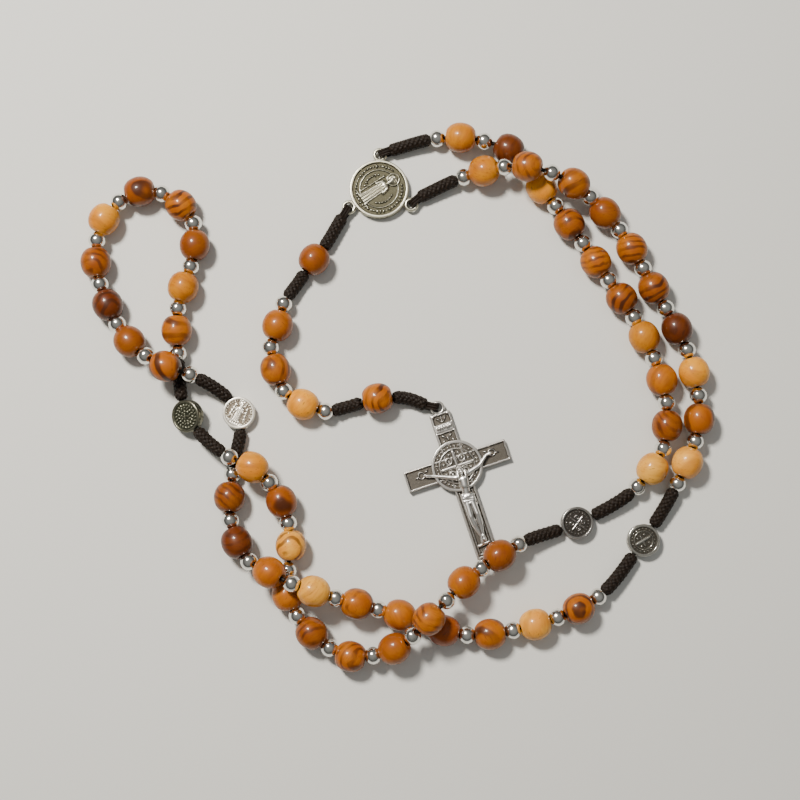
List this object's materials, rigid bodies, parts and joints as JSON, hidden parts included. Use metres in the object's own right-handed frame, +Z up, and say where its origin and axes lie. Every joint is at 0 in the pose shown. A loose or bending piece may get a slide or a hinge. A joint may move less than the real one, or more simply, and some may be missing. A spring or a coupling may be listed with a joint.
{
  "type": "rosary",
  "caption": "Wooden rosary laid in a loose loop: wood and silver beads in groups between small round medals, a round centre medal and a crucifix on a short pendant",
  "frame": {"origin": "middle of the rosary's footprint, on the surface that it lies on", "axes": "+Z up from the surface, +X along the longest side of the laid loop, +Y towards the centre medal"},
  "size_m": [0.1824, 0.1583, 0.0165],
  "materials": {
    "bead_wood": "varnished, glossy, honey to dark brown",
    "cord": "dark brown waxed cord, plaited between the beads",
    "aged_silver": "aged silver, dark in its recesses",
    "polished_silver": "bright silver with dark recesses"
  },
  "bodies": {
    "loop": {"loop_cord": "cord", "centre_medal": "aged_silver"},
    "pendant": {"pendant_cord": "cord"},
    "crucifix": {"crucifix": "polished_silver"},
    "small_medal_1": {"small_medal_1": "aged_silver"},
    "small_medal_2": {"small_medal_2": "aged_silver"},
    "small_medal_3": {"small_medal_3": "aged_silver"},
    "small_medal_4": {"small_medal_4": "aged_silver"},
    "pendant_bead_upper": {"pendant_bead_upper": "bead_wood"},
    "pendant_bead_lower": {"pendant_bead_lower": "bead_wood"},
    "decade_1_bead_01": {"decade_1_bead_01": "bead_wood"},
    "decade_1_bead_02": {"decade_1_bead_02": "bead_wood"},
    "decade_1_bead_03": {"decade_1_bead_03": "bead_wood"},
    "decade_1_bead_04": {"decade_1_bead_04": "bead_wood"},
    "decade_1_bead_05": {"decade_1_bead_05": "bead_wood"},
    "decade_1_bead_06": {"decade_1_bead_06": "bead_wood"},
    "decade_1_bead_07": {"decade_1_bead_07": "bead_wood"},
    "decade_1_bead_08": {"decade_1_bead_08": "bead_wood"},
    "decade_1_bead_09": {"decade_1_bead_09": "bead_wood"},
    "decade_1_bead_10": {"decade_1_bead_10": "bead_wood"},
    "decade_2_bead_01": {"decade_2_bead_01": "bead_wood"},
    "decade_2_bead_02": {"decade_2_bead_02": "bead_wood"},
    "decade_2_bead_03": {"decade_2_bead_03": "bead_wood"},
    "decade_2_bead_04": {"decade_2_bead_04": "bead_wood"},
    "decade_2_bead_05": {"decade_2_bead_05": "bead_wood"},
    "decade_2_bead_06": {"decade_2_bead_06": "bead_wood"},
    "decade_2_bead_07": {"decade_2_bead_07": "bead_wood"},
    "decade_2_bead_08": {"decade_2_bead_08": "bead_wood"},
    "decade_2_bead_09": {"decade_2_bead_09": "bead_wood"},
    "decade_2_bead_10": {"decade_2_bead_10": "bead_wood"},
    "decade_3_bead_01": {"decade_3_bead_01": "bead_wood"},
    "decade_3_bead_02": {"decade_3_bead_02": "bead_wood"},
    "decade_3_bead_03": {"decade_3_bead_03": "bead_wood"},
    "decade_3_bead_04": {"decade_3_bead_04": "bead_wood"},
    "decade_3_bead_05": {"decade_3_bead_05": "bead_wood"},
    "decade_3_bead_06": {"decade_3_bead_06": "bead_wood"},
    "decade_3_bead_07": {"decade_3_bead_07": "bead_wood"},
    "decade_3_bead_08": {"decade_3_bead_08": "bead_wood"},
    "decade_3_bead_09": {"decade_3_bead_09": "bead_wood"},
    "decade_3_bead_10": {"decade_3_bead_10": "bead_wood"},
    "decade_4_bead_01": {"decade_4_bead_01": "bead_wood"},
    "decade_4_bead_02": {"decade_4_bead_02": "bead_wood"},
    "decade_4_bead_03": {"decade_4_bead_03": "bead_wood"},
    "decade_4_bead_04": {"decade_4_bead_04": "bead_wood"},
    "decade_4_bead_05": {"decade_4_bead_05": "bead_wood"},
    "decade_4_bead_06": {"decade_4_bead_06": "bead_wood"},
    "decade_4_bead_07": {"decade_4_bead_07": "bead_wood"},
    "decade_4_bead_08": {"decade_4_bead_08": "bead_wood"},
    "decade_4_bead_09": {"decade_4_bead_09": "bead_wood"},
    "decade_4_bead_10": {"decade_4_bead_10": "bead_wood"},
    "decade_5_bead_01": {"decade_5_bead_01": "bead_wood"},
    "decade_5_bead_02": {"decade_5_bead_02": "bead_wood"},
    "decade_5_bead_03": {"decade_5_bead_03": "bead_wood"},
    "decade_5_bead_04": {"decade_5_bead_04": "bead_wood"},
    "decade_5_bead_05": {"decade_5_bead_05": "bead_wood"},
    "decade_5_bead_06": {"decade_5_bead_06": "bead_wood"},
    "decade_5_bead_07": {"decade_5_bead_07": "bead_wood"},
    "decade_5_bead_08": {"decade_5_bead_08": "bead_wood"},
    "decade_5_bead_09": {"decade_5_bead_09": "bead_wood"},
    "decade_5_bead_10": {"decade_5_bead_10": "bead_wood"}
  },
  "joints": [
    {"name": "pendant_swing", "type": "hinge", "parent": "loop", "child": "pendant", "pos_m": [-0.0137, 0.0546, 0.0017], "axis": [0, 0, 1], "range_deg": [-8, 3]},
    {"name": "crucifix_swing", "type": "hinge", "parent": "pendant", "child": "crucifix", "pos_m": [0.012, -0.0043, 0.00165], "axis": [0, 0, 1], "range_deg": [-30, 3]},
    {"name": "small_medal_1_spin", "type": "hinge", "parent": "loop", "child": "small_medal_1", "pos_m": [0.0517, -0.0373, 0.0018], "axis": [-0.9181, -0.396, 0.0172], "continuous": true},
    {"name": "small_medal_2_spin", "type": "hinge", "parent": "loop", "child": "small_medal_2", "pos_m": [-0.0596, -0.0068, 0.0037], "axis": [-0.4612, 0.8846, -0.0687], "continuous": true},
    {"name": "small_medal_3_spin", "type": "hinge", "parent": "loop", "child": "small_medal_3", "pos_m": [-0.0451, -0.0058, 0.0018], "axis": [0.3586, -0.9316, -0.0587], "continuous": true},
    {"name": "small_medal_4_spin", "type": "hinge", "parent": "loop", "child": "small_medal_4", "pos_m": [0.0705, -0.0422, 0.0018], "axis": [0.5722, 0.8201, 0.0031], "continuous": true},
    {"name": "pendant_bead_upper_spin", "type": "hinge", "parent": "pendant", "child": "pendant_bead_upper", "pos_m": [-0.0236, 0.0386, 0.0045], "axis": [-0.5801, -0.8126, 0.0565], "continuous": true},
    {"name": "pendant_bead_lower_spin", "type": "hinge", "parent": "pendant", "child": "pendant_bead_lower", "pos_m": [-0.0053, -0.0018, 0.0045], "axis": [0.9866, 0.1626, 0.0147], "continuous": true},
    {"name": "decade_1_bead_01_spin", "type": "hinge", "parent": "loop", "child": "decade_1_bead_01", "pos_m": [0.01888, 0.07467, 0.0045], "axis": [0.993, -0.0797, 0.087], "continuous": true},
    {"name": "decade_1_bead_02_spin", "type": "hinge", "parent": "loop", "child": "decade_1_bead_02", "pos_m": [0.0329, 0.0712, 0.0045], "axis": [0.8501, -0.5265, 0], "continuous": true},
    {"name": "decade_1_bead_03_spin", "type": "hinge", "parent": "loop", "child": "decade_1_bead_03", "pos_m": [0.0423, 0.0597, 0.0045], "axis": [0.5798, -0.8148, 0], "continuous": true},
    {"name": "decade_1_bead_04_spin", "type": "hinge", "parent": "loop", "child": "decade_1_bead_04", "pos_m": [0.05026, 0.0489, 0.0045], "axis": [0.5756, -0.8177, 0], "continuous": true},
    {"name": "decade_1_bead_05_spin", "type": "hinge", "parent": "loop", "child": "decade_1_bead_05", "pos_m": [0.0578, 0.0378, 0.0045], "axis": [0.5598, -0.8286, 0], "continuous": true},
    {"name": "decade_1_bead_06_spin", "type": "hinge", "parent": "loop", "child": "decade_1_bead_06", "pos_m": [0.06506, 0.02713, 0.0045], "axis": [0.545, -0.8384, 0], "continuous": true},
    {"name": "decade_1_bead_07_spin", "type": "hinge", "parent": "loop", "child": "decade_1_bead_07", "pos_m": [0.0714, 0.0159, 0.0045], "axis": [0.4244, -0.9055, 0], "continuous": true},
    {"name": "decade_1_bead_08_spin", "type": "hinge", "parent": "loop", "child": "decade_1_bead_08", "pos_m": [0.07621, 0.00353, 0.0045], "axis": [0.2552, -0.9669, 0], "continuous": true},
    {"name": "decade_1_bead_09_spin", "type": "hinge", "parent": "loop", "child": "decade_1_bead_09", "pos_m": [0.07746, -0.00967, 0.0045], "axis": [-0.0905, -0.9959, 0], "continuous": true},
    {"name": "decade_1_bead_10_spin", "type": "hinge", "parent": "loop", "child": "decade_1_bead_10", "pos_m": [0.07305, -0.02198, 0.0045], "axis": [-0.5629, -0.8215, -0.0913], "continuous": true},
    {"name": "decade_2_bead_01_spin", "type": "hinge", "parent": "loop", "child": "decade_2_bead_01", "pos_m": [0.0292, -0.0465, 0.0073], "axis": [-0.8269, -0.5193, 0.2158], "continuous": true},
    {"name": "decade_2_bead_02_spin", "type": "hinge", "parent": "loop", "child": "decade_2_bead_02", "pos_m": [0.0191, -0.054, 0.0083], "axis": [-0.7329, -0.6542, 0.1868], "continuous": true},
    {"name": "decade_2_bead_03_spin", "type": "hinge", "parent": "loop", "child": "decade_2_bead_03", "pos_m": [0.0092, -0.064, 0.012], "axis": [-0.6974, -0.7164, -0.0227], "continuous": true},
    {"name": "decade_2_bead_04_spin", "type": "hinge", "parent": "loop", "child": "decade_2_bead_04", "pos_m": [-0.0004, -0.0724, 0.0072], "axis": [-0.8318, -0.4331, -0.3472], "continuous": true},
    {"name": "decade_2_bead_05_spin", "type": "hinge", "parent": "loop", "child": "decade_2_bead_05", "pos_m": [-0.0127, -0.0747, 0.0045], "axis": [-0.9834, 0.1642, -0.0767], "continuous": true},
    {"name": "decade_2_bead_06_spin", "type": "hinge", "parent": "loop", "child": "decade_2_bead_06", "pos_m": [-0.02363, -0.06827, 0.0045], "axis": [-0.7091, 0.7051, 0], "continuous": true},
    {"name": "decade_2_bead_07_spin", "type": "hinge", "parent": "loop", "child": "decade_2_bead_07", "pos_m": [-0.0306, -0.0576, 0.0045], "axis": [-0.2159, 0.9764, 0], "continuous": true},
    {"name": "decade_2_bead_08_spin", "type": "hinge", "parent": "loop", "child": "decade_2_bead_08", "pos_m": [-0.0297, -0.0437, 0.0045], "axis": [0, 0.9998, 0.0184], "continuous": true},
    {"name": "decade_2_bead_09_spin", "type": "hinge", "parent": "loop", "child": "decade_2_bead_09", "pos_m": [-0.0324, -0.0313, 0.0053], "axis": [-0.419, 0.8949, 0.1534], "continuous": true},
    {"name": "decade_2_bead_10_spin", "type": "hinge", "parent": "loop", "child": "decade_2_bead_10", "pos_m": [-0.0405, -0.0217, 0.0078], "axis": [-0.842, 0.5395, 0.0004], "continuous": true},
    {"name": "decade_3_bead_01_spin", "type": "hinge", "parent": "loop", "child": "decade_3_bead_01", "pos_m": [-0.06302, 0.01785, 0.0045], "axis": [-0.0077, 0.9957, 0.0926], "continuous": true},
    {"name": "decade_3_bead_02_spin", "type": "hinge", "parent": "loop", "child": "decade_3_bead_02", "pos_m": [-0.06134, 0.0305, 0.0045], "axis": [0.2759, 0.9612, 0], "continuous": true},
    {"name": "decade_3_bead_03_spin", "type": "hinge", "parent": "loop", "child": "decade_3_bead_03", "pos_m": [-0.0582, 0.0428, 0.0045], "axis": [0.0463, 0.9989, 0], "continuous": true},
    {"name": "decade_3_bead_04_spin", "type": "hinge", "parent": "loop", "child": "decade_3_bead_04", "pos_m": [-0.0624, 0.0545, 0.0045], "axis": [-0.7264, 0.6873, 0], "continuous": true},
    {"name": "decade_3_bead_05_spin", "type": "hinge", "parent": "loop", "child": "decade_3_bead_05", "pos_m": [-0.0744, 0.0586, 0.0045], "axis": [-0.9806, -0.1962, 0], "continuous": true},
    {"name": "decade_3_bead_06_spin", "type": "hinge", "parent": "loop", "child": "decade_3_bead_06", "pos_m": [-0.0846, 0.0504, 0.0045], "axis": [-0.481, -0.8767, 0], "continuous": true},
    {"name": "decade_3_bead_07_spin", "type": "hinge", "parent": "loop", "child": "decade_3_bead_07", "pos_m": [-0.0867, 0.0377, 0.0045], "axis": [0.0872, -0.9962, 0], "continuous": true},
    {"name": "decade_3_bead_08_spin", "type": "hinge", "parent": "loop", "child": "decade_3_bead_08", "pos_m": [-0.083, 0.0253, 0.0045], "axis": [0.4098, -0.9122, 0.0062], "continuous": true},
    {"name": "decade_3_bead_09_spin", "type": "hinge", "parent": "loop", "child": "decade_3_bead_09", "pos_m": [-0.0765, 0.0146, 0.0048], "axis": [0.6662, -0.726, 0.1706], "continuous": true},
    {"name": "decade_3_bead_10_spin", "type": "hinge", "parent": "loop", "child": "decade_3_bead_10", "pos_m": [-0.0655, 0.0069, 0.0087], "axis": [0.9222, -0.3867, -0.0084], "continuous": true},
    {"name": "decade_4_bead_01_spin", "type": "hinge", "parent": "loop", "child": "decade_4_bead_01", "pos_m": [-0.04723, -0.03002, 0.0045], "axis": [-0.015, -0.9897, 0.1425], "continuous": true},
    {"name": "decade_4_bead_02_spin", "type": "hinge", "parent": "loop", "child": "decade_4_bead_02", "pos_m": [-0.04491, -0.04283, 0.00527], "axis": [0.4306, -0.8919, 0.1384], "continuous": true},
    {"name": "decade_4_bead_03_spin", "type": "hinge", "parent": "loop", "child": "decade_4_bead_03", "pos_m": [-0.0353, -0.0512, 0.0096], "axis": [0.8461, -0.4094, 0.3412], "continuous": true},
    {"name": "decade_4_bead_04_spin", "type": "hinge", "parent": "loop", "child": "decade_4_bead_04", "pos_m": [-0.02283, -0.05642, 0.00997], "axis": [0.917, -0.3107, -0.2501], "continuous": true},
    {"name": "decade_4_bead_05_spin", "type": "hinge", "parent": "loop", "child": "decade_4_bead_05", "pos_m": [-0.01091, -0.06, 0.0065], "axis": [0.9385, -0.259, -0.2283], "continuous": true},
    {"name": "decade_4_bead_06_spin", "type": "hinge", "parent": "loop", "child": "decade_4_bead_06", "pos_m": [0.0011, -0.0632, 0.0045], "axis": [0.9556, -0.2906, -0.0481], "continuous": true},
    {"name": "decade_4_bead_07_spin", "type": "hinge", "parent": "loop", "child": "decade_4_bead_07", "pos_m": [0.01355, -0.06745, 0.0045], "axis": [0.9659, -0.2588, 0], "continuous": true},
    {"name": "decade_4_bead_08_spin", "type": "hinge", "parent": "loop", "child": "decade_4_bead_08", "pos_m": [0.02653, -0.06852, 0.0045], "axis": [0.9952, 0.0978, 0], "continuous": true},
    {"name": "decade_4_bead_09_spin", "type": "hinge", "parent": "loop", "child": "decade_4_bead_09", "pos_m": [0.0393, -0.0658, 0.0045], "axis": [0.9619, 0.2731, -0.0163], "continuous": true},
    {"name": "decade_4_bead_10_spin", "type": "hinge", "parent": "loop", "child": "decade_4_bead_10", "pos_m": [0.05159, -0.06141, 0.0045], "axis": [0.8941, 0.4415, -0.0756], "continuous": true},
    {"name": "decade_5_bead_01_spin", "type": "hinge", "parent": "loop", "child": "decade_5_bead_01", "pos_m": [0.08305, -0.02019, 0.0045], "axis": [0.3891, 0.9181, 0.0751], "continuous": true},
    {"name": "decade_5_bead_02_spin", "type": "hinge", "parent": "loop", "child": "decade_5_bead_02", "pos_m": [0.0867, -0.0077, 0.0045], "axis": [0.0892, 0.9959, 0.0165], "continuous": true},
    {"name": "decade_5_bead_03_spin", "type": "hinge", "parent": "loop", "child": "decade_5_bead_03", "pos_m": [0.0855, 0.0057, 0.0045], "axis": [-0.2214, 0.9752, 0], "continuous": true},
    {"name": "decade_5_bead_04_spin", "type": "hinge", "parent": "loop", "child": "decade_5_bead_04", "pos_m": [0.08084, 0.01833, 0.0045], "axis": [-0.4388, 0.8986, 0], "continuous": true},
    {"name": "decade_5_bead_05_spin", "type": "hinge", "parent": "loop", "child": "decade_5_bead_05", "pos_m": [0.0744, 0.0302, 0.0045], "axis": [-0.4753, 0.8798, 0.002], "continuous": true},
    {"name": "decade_5_bead_06_spin", "type": "hinge", "parent": "loop", "child": "decade_5_bead_06", "pos_m": [0.06823, 0.04168, 0.0046], "axis": [-0.508, 0.8612, 0.0153], "continuous": true},
    {"name": "decade_5_bead_07_spin", "type": "hinge", "parent": "loop", "child": "decade_5_bead_07", "pos_m": [0.0606, 0.0522, 0.0049], "axis": [-0.6749, 0.7211, 0.1566], "continuous": true},
    {"name": "decade_5_bead_08_spin", "type": "hinge", "parent": "loop", "child": "decade_5_bead_08", "pos_m": [0.0512, 0.0598, 0.0092], "axis": [-0.8408, 0.4375, 0.3188], "continuous": true},
    {"name": "decade_5_bead_09_spin", "type": "hinge", "parent": "loop", "child": "decade_5_bead_09", "pos_m": [0.0376, 0.064, 0.0121], "axis": [-0.9695, 0.1748, -0.1715], "continuous": true},
    {"name": "decade_5_bead_10_spin", "type": "hinge", "parent": "loop", "child": "decade_5_bead_10", "pos_m": [0.02555, 0.0644, 0.00571], "axis": [-0.903, -0.1335, -0.4083], "continuous": true}
  ]
}
